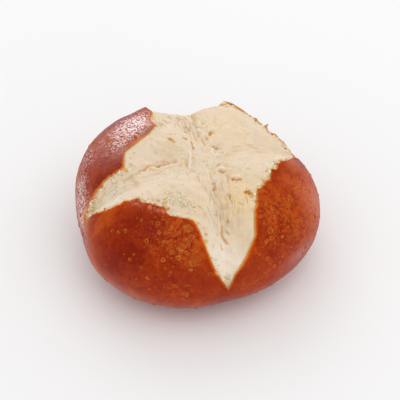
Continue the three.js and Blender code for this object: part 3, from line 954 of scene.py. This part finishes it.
def crumbPiece():
    baseAzimuth = np.arange(0, 360, crumb["hiddenSpacing"])
    azimuth, polar = spread([
        (crumb["spacing"], lambda polar, away, torn: torn | (away < crumb["marginReach"])),
        (crumb["hiddenSpacing"], lambda polar, away, torn: ~torn & (away > crumb["marginReach"])),
    ])
    azimuth = np.concatenate([baseAzimuth, azimuth])
    polar = np.concatenate([basePolar(baseAzimuth), polar])
    sink, toEdge = crumbSink(azimuth, polar)
    smooth = doughPoint(azimuth, polar, -sink)
    height, marks = crumbRelief(smooth, azimuth, polar, toEdge)
    marks["fromEdge"], _ = nearestOn(edgeLine, doughPoint(azimuth, polar))
    for mark in ("shreds", "threads", "tints"):
        marks[mark] = zoneSum(crumb[mark], azimuth, polar)
    marks["along"] = alongArms(smooth)
    marks["flakes"] = edgeSum(crumb["flakes"], azimuth, crumb["leastFlakes"])
    marks["flakes"] *= np.exp(-marks["fromEdge"] / crumb["flakeReach"])
    isTorn = isInside(toMap(azimuth, polar), edgeMap)
    for mark in ("flakes", "shreds", "threads"):
        marks[mark] *= isTorn
    points = doughPoint(azimuth, polar, height - sink)
    baseSize = len(baseAzimuth)
    points[:baseSize, 2] = crumb["underCrust"]
    body = Body()
    outer = body.addPoints(points, **marks)
    body.faces += triangulate(azimuth, polar, [baseSize]).tolist()
    body.addBase(outer[:baseSize], isFacingDown=True)
    return body.finish("crumb", shift)


crumbBody = crumbPiece()


# A socket that Python's arithmetic works on: each sum adds a Math node.
class Signal:
    def __init__(self, graph, socket):
        self.graph = graph
        self.socket = socket


def mathMethod(operation, isReflected=False):
    def method(self, other):
        first, second = (other, self) if isReflected else (self, other)
        return self.graph.add("ShaderNodeMath", {"operation": operation}, {0: first, 1: second})
    return method


for sign, operation in {"add": "ADD", "sub": "SUBTRACT", "mul": "MULTIPLY", "truediv": "DIVIDE"}.items():
    setattr(Signal, f"__{sign}__", mathMethod(operation))
    setattr(Signal, f"__r{sign}__", mathMethod(operation, isReflected=True))
Signal.atMost = mathMethod("MINIMUM")
Signal.atLeast = mathMethod("MAXIMUM")


# The node tree of one material, world or Geometry Nodes modifier.
class Graph:
    def __init__(self, tree):
        self.tree = tree
        self.isShader = tree.bl_idname == "ShaderNodeTree"
        tree.nodes.clear()

    # Adds a node: its settings first, then the values or links of its inputs.
    def add(self, kind, settings=None, inputs=None, output=0):
        node = self.tree.nodes.new(kind)
        for name, value in (settings or {}).items():
            setattr(node, name, value)
        for key, value in (inputs or {}).items():
            if isinstance(value, Signal):
                self.tree.links.new(value.socket, node.inputs[key])
            else:
                node.inputs[key].default_value = value
        return Signal(self, node.outputs[output]) if node.outputs else None

    # The object's own coordinates, in millimetres.
    def place(self):
        if self.isShader:
            own = self.add("ShaderNodeTexCoord", output="Object")
        else:
            own = self.add("GeometryNodeInputPosition")
        return self.scaled(own, 1 / metresPerMm)

    def scaled(self, vector, scale):
        return self.add("ShaderNodeVectorMath", {"operation": "SCALE"}, {0: vector, 3: scale})

    # Noise of about one length, from 0 to 1.
    def noise(self, place, length, detail=2.0, roughness=0.5, distortion=0.0):
        inputs = {
            "Vector": place, "Scale": 1 / length, "Detail": detail,
            "Roughness": roughness, "Distortion": distortion,
        }
        return self.add("ShaderNodeTexNoise", {"noise_dimensions": "3D"}, inputs)

    # The distance to the nearest of scattered points about one length apart.
    def cells(self, place, length):
        return self.add("ShaderNodeTexVoronoi", {"feature": "F1"}, {"Vector": place, "Scale": 1 / length})

    # From 0 at the low value to 1 at the high one.
    def between(self, value, low, high):
        inputs = {"Value": value, "From Min": low, "From Max": high}
        return self.add("ShaderNodeMapRange", {"interpolation_type": "SMOOTHSTEP"}, inputs)

    # What the piece's own mesh says at each point: a number or a vector.
    def mark(self, name, isVector=False):
        if self.isShader:
            output = "Vector" if isVector else "Fac"
            return self.add("ShaderNodeAttribute", {"attribute_name": name}, output=output)
        kind = {"data_type": "FLOAT_VECTOR" if isVector else "FLOAT"}
        return self.add("GeometryNodeInputNamedAttribute", kind, {"Name": name})

    # Lays one colour over another.
    def blend(self, share, under, over):
        inputs = {0: share, 6: colour(under), 7: colour(over)}
        return self.add("ShaderNodeMix", {"data_type": "RGBA"}, inputs, output=2)

    # Lays colours of a finish over its first one, each as thick as its share says.
    def layers(self, finish, first, overs):
        skin = finish[first]
        for name, share in overs:
            skin = self.blend(share, skin, finish[name])
        return skin

    def bump(self, height, strength, distance, normal=None):
        inputs = {"Height": height, "Strength": strength, "Distance": distance * metresPerMm}
        if normal is not None:
            inputs["Normal"] = normal
        return self.add("ShaderNodeBump", inputs=inputs)

    def surface(self, inputs):
        shader = self.add("ShaderNodeBsdfPrincipled", inputs=inputs)
        self.add("ShaderNodeOutputMaterial", inputs={"Surface": shader})


# A linear colour from 8-bit red, green and blue as seen on a screen; a socket passes through.
def colour(value):
    if isinstance(value, Signal):
        return value
    linear = [((part / 255 + 0.055) / 1.055) ** 2.4 if part > 10 else part / 255 / 12.92 for part in value]
    return (*linear, 1)


# A material with an empty node tree.
def material(name):
    made = bpy.data.materials.new(name)
    made.use_nodes = True
    return made, Graph(made.node_tree)


crustFinish = {
    "deep": (135, 28, 0),
    "brown": (162, 49, 3),
    "amber": (188, 75, 14),
    "gold": (198, 104, 36),
    "rimOrange": (206, 84, 8),
    "rimGold": (226, 160, 74),
    "rimCream": (232, 208, 168),
    # scuffed pink, also used for the painted sheen on the right lobe
    "scuff": (212, 122, 90),
    # pale bloom colour, used mostly for the painted highlight and painted reflection
    "bloom": (233, 203, 193),
    # sizes of the patterns in millimetres
    "patches": 17,
    "mottles": 5.5,
    "dimples": 2.4,
    "freckles": 1.7,
    "specks": 1.5,
    "grains": 1.1,
    "stipples": 0.8,
    "wrinkles": 0.75,
    "drawnWrinkles": 0.6,
    # heights of the relief that only the light shows, in millimetres
    "dimpleDepth": 0.1,
    "stippleDepth": 0.08,
    "roughness": 0.4,
    "ior": 1.08,
    "thinGlaze": 0.27,
    "glazeRoughness": 0.27,
    "glazeIor": 1.4,
}


def crustMaterial():
    finish = crustFinish
    made, graph = material("lye crust")
    place = graph.place()
    fromEdge, rim, tone = graph.mark("fromEdge"), graph.mark("rim"), graph.mark("tone")
    blister, pit = graph.mark("blister"), graph.mark("pit")
    broad = graph.noise(place, finish["patches"], 2, 0.5)
    mottle = graph.noise(place, finish["mottles"], 4, 0.6, 0.5)
    fine = graph.noise(place, finish["grains"], 3, 0.6)
    stipple = graph.noise(place, finish["stipples"], 3, 0.75)
    dimples = graph.noise(place, finish["dimples"], 2, 0.5)
    # from 0 in the amber to 1 in the deepest brown
    busy = graph.mark("speckle").atMost(1.0)
    patchy = graph.noise(place, finish["freckles"], 3, 0.7, 0.3)
    darkness = 0.5 + 0.42 * tone + 1.3 * (broad - 0.5) + 1.1 * (mottle - 0.5) + 0.6 * (fine - 0.5)
    darkness = darkness + (0.5 + 3.0 * busy) * (patchy - 0.5)
    # golden speckles where the lye took less
    specks = graph.between(0.4 * busy + 0.06 - graph.cells(place, finish["specks"]), 0, 0.25)
    gold = specks * 0.35 * graph.between(mottle, 0.3, 0.6)
    gold = gold.atLeast(blister * graph.between(fine, 0.25, 0.7))
    # scuffed pink rim, and a painted sheen on the right lobe
    scuffedAndSheen = graph.mark("scuff").atMost(1.0)
    scuffedAndSheen = scuffedAndSheen * (0.12 + 0.88 * graph.between(fine + 0.06 * scuffedAndSheen, 0.5, 0.58))
    # the thin edge along the tear runs from orange over gold to cream
    orange = graph.mark("orange").atMost(1.0)
    wavering = fromEdge + 0.9 * (mottle - 0.5) + 0.5 * (fine - 0.5) + 1.1 * (1 - orange)
    brink = (1 - graph.between(fromEdge + 0.5 * (fine - 0.5), 0.05, 0.4)) * orange * 0.5
    sunken = graph.between(graph.mark("dip") + 0.3 * (fine - 0.5), 0.15, 0.6)
    sunken = sunken * (1 - graph.between(fromEdge, 0.5, 1.2))
    # fine wrinkles that break up the gloss
    normal = graph.bump(stipple, 0.5, finish["stippleDepth"])
    normal = graph.bump(dimples, 0.45, finish["dimpleDepth"], normal)
    # the glaze lies in flecks between its wrinkles, with a pale bloom on it that is mostly a painted
    # highlight
    isRim = graph.between(rim, 0.05, 0.4)
    isGlazed = (1 - isRim) * graph.between(fromEdge + 1.5 * (mottle - 0.5), 0.3, 1.6) * (1 - pit)
    glazed = graph.mark("glaze").atMost(1.2)
    drawn = graph.noise(graph.mark("wayDown", isVector=True), finish["drawnWrinkles"], 2, 0.7)
    wrinkles = 0.35 * drawn + 0.65 * graph.noise(place, finish["wrinkles"], 2, 0.75)
    wrinkles = wrinkles + 0.1 * (dimples - 0.5)
    glaze = glazed * (0.04 + 0.96 * graph.between(wrinkles + 0.08 * (glazed - 0.9), 0.475, 0.56))
    dull = 0.9 * (1.8 * glazed).atMost(1.0) * (1 - graph.between(wrinkles, 0.475, 0.53))
    # the pale bloom and painted highlight, left off the dull flecks
    bloom = graph.mark("bloom").atMost(1.0) * (1 - dull)
    skin = graph.layers(finish, "amber", [
        ("brown", graph.between(darkness, 0.1, 0.55)),
        ("deep", graph.between(darkness, 0.5, 1.05)),
        ("gold", gold.atMost(1.0)),
        ("rimOrange", pit * 0.8),
        ("scuff", scuffedAndSheen * 0.8),
        ("rimOrange", (1 - graph.between(wavering, 0.1, 1.4)) * orange * 0.85),
        ("rimGold", brink),
        ("rimGold", graph.between(rim, 0.1, 0.5) * (0.7 + 0.3 * orange)),
        ("rimCream", graph.between(rim, 0.5, 0.9)),
        ("rimCream", sunken),
        ("deep", (1 - graph.between(wrinkles, 0.42, 0.5)) * glazed * 0.5),
        ("bloom", bloom * 0.85),
    ])
    # the thin glaze gives way where it is worn or where the broken glaze lies
    thin = finish["thinGlaze"] * (1 - 1.5 * glazed - graph.mark("matte")).atLeast(0.1)
    graph.surface({
        "Base Color": skin,
        "Roughness": finish["roughness"] + 0.2 * (fine - 0.5) + 0.5 * isRim,
        "IOR": finish["ior"],
        "Coat Weight": (thin + glaze).atMost(1.0) * isGlazed,
        "Coat Roughness": finish["glazeRoughness"],
        "Coat IOR": finish["glazeIor"],
        "Normal": normal,
    })
    return made


crumbFinish = {
    "cream": (227, 207, 178),
    "pale": (232, 214, 191),
    "blush": (236, 209, 187),
    "straw": (236, 209, 164),
    # white: pale bits of crumb, and also the painted highlight on ridges and painted light on shaded faces
    "white": (250, 240, 224),
    # tan: a fine tone of the crumb, and also the painted shade in grooves and hollows
    "tan": (214, 178, 128),
    # golden brown inside pores and seams, partly painted shade
    "poreBrown": (208, 152, 78),
    "edgeGold": (226, 168, 84),
    # sizes of the patterns in millimetres
    "patches": 13,
    "blushes": 6.5,
    "mottles": 4,
    "grains": 0.8,
    "fineGrains": 0.55,
    # heights of the relief that only the light shows, in millimetres
    "mottleDepth": 0.3,
    "grainDepth": 0.16,
    "roughness": 0.85,
    "shine": 0.15,
    # how much light goes into the crumb, how far its red, green and blue reach, and on what scale
    "depth": 0.5,
    "depthReach": (1.0, 0.65, 0.4),
    "depthScale": 2,
}


def crumbMaterial():
    finish = crumbFinish
    made, graph = material("torn crumb")
    place = graph.place()
    fromEdge, pore, valley = graph.mark("fromEdge"), graph.mark("pore"), graph.mark("valley")
    broad = graph.noise(place, finish["patches"], 2, 0.5)
    patch = graph.noise(place, finish["mottles"], 3, 0.6, 0.4)
    fine = graph.noise(place, finish["grains"], 3, 0.6)
    paler = graph.between(broad + 0.5 * (patch - 0.5), 0.35, 0.65)
    blush = graph.between(graph.noise(place, finish["blushes"], 3, 0.6, 0.6), 0.5, 0.68)
    # straw tint, and below 0 a paler crumb that is partly painted light
    tint = graph.mark("tints")
    straw = (graph.between(patch, 0.5, 0.75) * 0.5 + tint * 0.8).atMost(1.0).atLeast(0.0)
    grainy = graph.mark("grain").atMost(1.2)
    nearEdge = 1 - graph.between(fromEdge + 0.5 * (patch - 0.5), 0.05, 0.5)
    face = graph.layers(finish, "cream", [
        ("pale", paler),
        ("blush", blush * 0.55),
        ("straw", straw),
        # paler crumb, partly painted light on the shaded front arm
        ("white", (0 - tint).atMost(1.0).atLeast(0.0) * 0.9),
        ("tan", graph.between(fine, 0.52, 0.75) * (0.06 + 0.16 * grainy)),
        ("white", (1 - graph.between(fine, 0.3, 0.46)) * (0.1 + 0.25 * grainy)),
        # painted shade in the grooves and hollows
        ("tan", (valley * 0.5).atMost(1.0)),
        # painted highlight on the ridges
        ("white", graph.mark("crest") * 0.5),
        # golden brown in pores and seams, partly painted shade
        ("poreBrown", (pore * (0.8 + 0.8 * (fine - 0.5))).atMost(1.0)),
        ("edgeGold", nearEdge * 0.5),
    ])
    grain = graph.noise(place, finish["fineGrains"], 3, 0.65) * grainy
    normal = graph.bump(patch, 0.4, finish["mottleDepth"])
    graph.surface({
        "Base Color": face,
        "Roughness": finish["roughness"],
        "Specular IOR Level": finish["shine"],
        "Subsurface Weight": finish["depth"],
        "Subsurface Radius": finish["depthReach"],
        "Subsurface Scale": finish["depthScale"] * metresPerMm,
        "Normal": graph.bump(grain, 0.7, finish["grainDepth"], normal),
    })
    return made


crustSkin = crustMaterial()
crumbFace = crumbMaterial()
crustShell.data.materials.append(crustSkin)
crumbBody.data.materials.append(crumbFace)
print("materials: lye crust, torn crumb")


# A Geometry Nodes tree with named inputs, and the settings that a modifier gives them.
class Recipe:
    def __init__(self, name, settings):
        self.name = name
        self.settings = settings
        self.tree = bpy.data.node_groups.new(name, "GeometryNodeTree")
        self.graph = Graph(self.tree)
        self.tree.interface.new_socket("Geometry", in_out="INPUT", socket_type="NodeSocketGeometry")
        self.tree.interface.new_socket("Geometry", in_out="OUTPUT", socket_type="NodeSocketGeometry")
        self.sockets = {}
        for setting, value in settings.items():
            kind = "NodeSocketInt" if isinstance(value, int) else "NodeSocketFloat"
            socket = self.tree.interface.new_socket(setting, in_out="INPUT", socket_type=kind)
            self.sockets[setting] = socket
        self.given = self.tree.nodes.new("NodeGroupInput")

    def __getitem__(self, name):
        return Signal(self.graph, self.given.outputs[name])

    # A random number for each point.
    def chance(self, low, high, step):
        inputs = {2: low, 3: high, "Seed": self["seed"] + step}
        return self.graph.add("FunctionNodeRandomValue", {"data_type": "FLOAT"}, inputs, output=1)

    # Runs the tree over a piece's mesh and gives the result as a plain mesh.
    def grow(self, source):
        worker = addObject(self.name, source.data)
        modifier = worker.modifiers.new("grow", "NODES")
        modifier.node_group = self.tree
        for setting, value in self.settings.items():
            modifier[self.sockets[setting].identifier] = value
        evaluated = worker.evaluated_get(bpy.context.evaluated_depsgraph_get())
        mesh = bpy.data.meshes.new_from_object(evaluated)
        worker.modifiers.clear()
        worker.data = mesh
        mesh.shade_smooth()
        print(f"{self.name}: {len(mesh.vertices)} points, {len(mesh.polygons)} faces")
        return worker


# Puts a grain at each point, then gives every grain a shape and shade of its own. The settings hold
# the seed, the palest shade, how far a grain may be stretched, and how ragged it is and over what
# length it wavers, in millimetres.
def grainsAt(recipe, points, rotation, size, grain, skin):
    graph = recipe.graph
    scale = {"X": size * recipe.chance(1.0, recipe["stretch"], 3), "Y": size, "Z": size}
    scale = graph.add("ShaderNodeCombineXYZ", inputs=scale)
    shade = {"Geometry": points, "Name": "shade", "Value": recipe.chance(recipe["palest"], 1.0, 4)}
    points = graph.add("GeometryNodeStoreNamedAttribute", {"data_type": "FLOAT", "domain": "POINT"}, shade)
    inputs = {"Points": points, "Instance": grain(graph), "Rotation": rotation, "Scale": scale}
    grains = graph.add("GeometryNodeInstanceOnPoints", inputs=inputs)
    grains = graph.add("GeometryNodeRealizeInstances", inputs={"Geometry": grains})
    jolt = {"Vector": graph.place(), "Scale": 1 / recipe["waver"], "Detail": 1.0}
    jolt = graph.add("ShaderNodeTexNoise", inputs=jolt, output="Color")
    jolt = graph.add("ShaderNodeVectorMath", {"operation": "SUBTRACT"}, {0: jolt, 1: (0.5, 0.5, 0.5)})
    jolt = graph.scaled(jolt, recipe["ragged"] * metresPerMm)
    grains = graph.add("GeometryNodeSetPosition", inputs={"Geometry": grains, "Offset": jolt})
    grains = graph.add("GeometryNodeSetMaterial", inputs={"Geometry": grains, "Material": skin})
    graph.add("NodeGroupOutput", inputs={"Geometry": grains})


# Sprinkles a grain over a surface, thickest where the surface's mark is highest. The settings also
# hold how many lie on a square millimetre, the smallest and largest size in millimetres, and how far
# a grain may swing from its heading, in degrees.
def sprinkled(name, settings, mark, grain, skin, source, heading=None):
    recipe = Recipe(name, settings)
    graph = recipe.graph
    density = recipe["perMm2"] * graph.mark(mark) / metresPerMm ** 2
    inputs = {"Mesh": recipe["Geometry"], "Density": density, "Seed": recipe["seed"]}
    points = graph.add("GeometryNodeDistributePointsOnFaces", {"distribute_method": "RANDOM"}, inputs)
    rotation = Signal(graph, points.socket.node.outputs["Rotation"])
    if heading:
        inputs = {"Rotation": rotation, "Vector": graph.mark(heading, isVector=True)}
        rotation = graph.add("FunctionNodeAlignRotationToVector", {"axis": "X", "pivot_axis": "Z"}, inputs)
    swing = recipe["swing"] * math.radians(1)
    spin = {"Axis": (0, 0, 1), "Angle": recipe.chance(0 - swing, swing, 1)}
    spin = graph.add("FunctionNodeAxisAngleToRotation", inputs=spin)
    inputs = {"Rotation": rotation, "Rotate By": spin}
    rotation = graph.add("FunctionNodeRotateRotation", {"rotation_space": "LOCAL"}, inputs)
    rarity = recipe.chance(0.0, 1.0, 2)
    size = recipe["smallest"] + (recipe["largest"] - recipe["smallest"]) * rarity * rarity * rarity
    grainsAt(recipe, points, rotation, size * metresPerMm, grain, skin)
    return recipe.grow(source)


# Grains at the points of a mesh, each as large as its own mark says.
def placed(name, settings, grain, skin, azimuth, polar, sizes):
    mesh = bpy.data.meshes.new(name)
    clearOfDough = 0.04
    points = doughPoint(azimuth, polar, clearOfDough) + shift
    mesh.from_pydata((points * metresPerMm).tolist(), [], [])
    storeMark(mesh, "size", sizes)
    storeMark(mesh, "up", doughNormal(azimuth, polar))
    source = bpy.data.objects.new(name + "Points", mesh)
    recipe = Recipe(name, settings)
    graph = recipe.graph
    up = {"Vector": graph.mark("up", isVector=True)}
    rotation = graph.add("FunctionNodeAlignRotationToVector", {"axis": "Z"}, up)
    grainsAt(recipe, recipe["Geometry"], rotation, graph.mark("size") * metresPerMm, grain, skin)
    grown = recipe.grow(source)
    bpy.data.objects.remove(source)
    return grown


# A low blister with a radius of 1 and a raised ring round its sunken middle.
def ringGrain(graph, segments=9, rings=6):
    ball = {"Segments": segments, "Rings": rings, "Radius": 1.0}
    ball = graph.add("GeometryNodeMeshUVSphere", inputs=ball)
    inputs = {"Vector": graph.add("GeometryNodeInputPosition")}
    parts = graph.add("ShaderNodeSeparateXYZ", inputs=inputs).socket.node.outputs
    x, y, z = (Signal(graph, parts[axis]) for axis in "XYZ")
    ridge = graph.between(z, 0.0, 0.5) - graph.between(z, 0.5, 1.0) * 0.6
    shaped = graph.add("ShaderNodeCombineXYZ", inputs={"X": x, "Y": y, "Z": ridge * 0.3 - 0.12})
    shape = {"Geometry": ball, "Name": "ridge", "Value": ridge}
    ball = graph.add("GeometryNodeStoreNamedAttribute", {"data_type": "FLOAT", "domain": "POINT"}, shape)
    return graph.add("GeometryNodeSetPosition", inputs={"Geometry": ball, "Position": shaped})


def largeRingGrain(graph):
    return ringGrain(graph, 18, 10)


# A crumb with a few flat sides and a radius of 1.
def crumbGrain(graph):
    return graph.add("GeometryNodeMeshIcoSphere", inputs={"Radius": 1.0, "Subdivisions": 1})


# A dot that lies low on the crust.
def dotGrain(graph):
    return graph.add("GeometryNodeTransform", inputs={"Geometry": crumbGrain(graph), "Scale": (1, 1, 0.22)})


# A thin torn strand, two units long, that arches over its base.
def strandGrain(graph):
    bow = {"Resolution": 5, "Start": (-1, 0, -0.08), "Middle": (0.1, 0.2, 0.2), "End": (1, 0, -0.06)}
    line = graph.add("GeometryNodeCurveQuadraticBezier", inputs=bow)
    share = graph.add("GeometryNodeSplineParameter", output="Factor")
    taper = share * (1 - share) * 3.2 + 0.2
    line = graph.add("GeometryNodeSetCurveRadius", inputs={"Curve": line, "Radius": taper})
    section = graph.add("GeometryNodeCurvePrimitiveCircle", inputs={"Resolution": 5, "Radius": 0.07})
    inputs = {"Curve": line, "Profile Curve": section, "Fill Caps": True}
    return graph.add("GeometryNodeCurveToMesh", inputs=inputs)


blisters = {
    "seed": 71, "perMm2": 0.3, "smallest": 0.2, "largest": 0.95, "swing": 180.0,
    "stretch": 1.5, "ragged": 0.6, "waver": 1.0, "palest": 0.0,
}
largeBlisters = {"seed": 75, "palest": 0.5, "stretch": 1.4, "ragged": 1.6, "waver": 1.2}
dots = {
    "seed": 72, "perMm2": 0.8, "smallest": 0.13, "largest": 0.34, "swing": 180.0,
    "stretch": 1.8, "ragged": 0.2, "waver": 0.6, "palest": 0.0,
}
flakes = {
    "seed": 83, "perMm2": 4.5, "smallest": 0.15, "largest": 0.72, "swing": 180.0,
    "stretch": 2.0, "ragged": 0.4, "waver": 0.7, "palest": 0.0,
}
shreds = {
    "seed": 74, "perMm2": 2.2, "smallest": 0.14, "largest": 0.5, "swing": 180.0,
    "stretch": 3.2, "ragged": 0.5, "waver": 0.8, "palest": 0.0,
}
threads = {
    "seed": 76, "perMm2": 0.28, "smallest": 0.9, "largest": 2.4, "swing": 16.0,
    "stretch": 1.6, "ragged": 0.5, "waver": 1.6, "palest": 0.0,
}
blisterFinish = {
    "ring": (212, 126, 56), "hollow": (172, 72, 20), "dot": (172, 66, 22), "pale": (196, 96, 50),
    "roughness": 0.6, "ior": 1.08,
}
flakeFinish = {
    "pale": (242, 228, 200), "gold": (228, 178, 104), "burnt": (206, 116, 44),
    "roughness": 0.8, "ior": 1.1,
}
shredFinish = {
    "pale": (238, 226, 204), "gold": (230, 206, 162), "burnt": (214, 172, 112),
    "roughness": 0.85, "ior": 1.1,
}


def blisterMaterial():
    finish = blisterFinish
    made, graph = material("blister skin")
    fine = graph.noise(graph.place(), 0.6, 2)
    broken = graph.noise(graph.place(), 1.6, 2)
    ring = graph.between(graph.mark("ridge") + 1.4 * (fine - 0.5) + 1.6 * (broken - 0.5), 0.3, 0.95)
    ring = ring * (0.1 + 0.8 * graph.mark("shade"))
    skin = graph.layers(finish, "hollow", [("ring", ring)])
    graph.surface({"Base Color": skin, "Roughness": finish["roughness"], "IOR": finish["ior"]})
    return made


def dotMaterial():
    finish = blisterFinish
    made, graph = material("dotted skin")
    skin = graph.layers(finish, "dot", [("pale", graph.between(graph.mark("shade"), 0.5, 1.0))])
    graph.surface({"Base Color": skin, "Roughness": finish["roughness"], "IOR": finish["ior"]})
    return made


def flakeMaterial(name, finish):
    made, graph = material(name)
    shade = graph.mark("shade")
    skin = graph.layers(finish, "pale", [
        ("gold", graph.between(shade, 0.35, 0.7)),
        ("burnt", graph.between(shade, 0.85, 1.0)),
    ])
    normal = graph.bump(graph.noise(graph.place(), 0.3, 2), 0.4, 0.05)
    graph.surface({
        "Base Color": skin, "Roughness": finish["roughness"], "IOR": finish["ior"], "Normal": normal,
    })
    return made


flakeSkin = flakeMaterial("edge crumbs", flakeFinish)
shredSkin = flakeMaterial("torn shreds", shredFinish)
blisterSkin = blisterMaterial()
ringPlaces = np.array(crust["rings"])
grownPieces = [
    (sprinkled("crustBlisters", blisters, "speckle", ringGrain, blisterSkin, crustShell), "crust"),
    (placed("largeBlisters", largeBlisters, largeRingGrain, blisterSkin, *ringPlaces.T[:3]), "crust"),
    (sprinkled("crustDots", dots, "dots", dotGrain, dotMaterial(), crustShell), "crust"),
    (sprinkled("edgeFlakes", flakes, "flakes", crumbGrain, flakeSkin, crumbBody), "crumb"),
    (sprinkled("crumbShreds", shreds, "shreds", crumbGrain, shredSkin, crumbBody), "crumb"),
    (sprinkled("crumbThreads", threads, "threads", strandGrain, shredSkin, crumbBody, "along"), "crumb"),
]

studio = {
    "floorSize": 6,  # metres
    "floor": (246, 246, 246),
    "floorPale": (250, 250, 250),
    "floorPatches": 160,
    "floorRoughness": 0.95,
    "worldLight": 0.82,
    "worldGloss": 0.3,
    # azimuth, elevation, distance, width and height in millimetres, power in watts, and whether it
    # only shows in the gloss or only lights what isn't glossy
    "lamps": [
        (121, 16, 800, 700, 420, 6.8, True),
        (330, 65, 800, 700, 700, 1.1, False),
        (100, 40, 800, 600, 600, 0.8, False),
    ],
}
camera = {
    "elevation": 45,
    "distance": 460,  # millimetres from the core
    "lens": 101.4,
    "sensor": 36,
    "right": 0.8,
    "up": 1.63,
}


def makeStudio():
    half = studio["floorSize"] / 2
    mesh = bpy.data.meshes.new("floor")
    corners = [(-half, -half, 0), (half, -half, 0), (half, half, 0), (-half, half, 0)]
    mesh.from_pydata(corners, [], [(0, 1, 2, 3)])
    floor = addObject("floor", mesh)
    made, graph = material("floor paper")
    patches = graph.noise(graph.place(), studio["floorPatches"], 1)
    tint = graph.layers(studio, "floor", [("floorPale", patches)])
    graph.surface({"Base Color": tint, "Roughness": studio["floorRoughness"], "Specular IOR Level": 0.0})
    mesh.materials.append(made)
    world = bpy.data.worlds.new("studio")
    bpy.context.scene.world = world
    world.use_nodes = True
    graph = Graph(world.node_tree)
    isSeen = graph.add("ShaderNodeLightPath", output="Is Camera Ray")
    isMirrored = graph.add("ShaderNodeLightPath", output="Is Glossy Ray")
    light = studio["worldLight"]
    strength = light + (1 - light) * isSeen - (light - studio["worldGloss"]) * isMirrored
    background = graph.add("ShaderNodeBackground", inputs={"Color": (1, 1, 1, 1), "Strength": strength})
    graph.add("ShaderNodeOutputWorld", inputs={"Surface": background})
    for number, settings in enumerate(studio["lamps"]):
        azimuth, elevation, distance, width, height, power, isGloss = settings
        light = bpy.data.lights.new(f"softbox{number}", "AREA")
        light.shape = "RECTANGLE"
        light.size = width * metresPerMm
        light.size_y = height * metresPerMm
        light.energy = power
        lamp = addObject(f"softbox{number}", light)
        towards = Vector(direction(azimuth, 90 - elevation))
        lamp.location = Vector(coreInFrame) + towards * distance * metresPerMm
        lamp.rotation_euler = towards.to_track_quat("Z", "Y").to_euler()
        lamp.visible_camera = False
        lamp.visible_glossy = isGloss
        lamp.visible_diffuse = not isGloss
    return floor


def makeCamera():
    tilt = math.radians(camera["elevation"])
    back = Vector((0, -math.cos(tilt), math.sin(tilt)))
    up = Vector((0, math.sin(tilt), math.cos(tilt)))
    aside = Vector((camera["right"], 0, 0)) + up * camera["up"]
    data = bpy.data.cameras.new("camera")
    data.lens = camera["lens"]
    data.sensor_width = camera["sensor"]
    viewer = addObject("camera", data)
    viewer.location = Vector(coreInFrame) + (back * camera["distance"] + aside) * metresPerMm
    viewer.rotation_euler = (-back).to_track_quat("-Z", "Y").to_euler()
    bpy.context.scene.camera = viewer


floor = makeStudio()
makeCamera()
bpy.context.scene.view_settings.view_transform = "Standard"

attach(crustShell, "root")
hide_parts("roll")
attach(crumbBody, "root")
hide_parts("roll")
for piece, slot in grownPieces:
    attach(piece, "root")
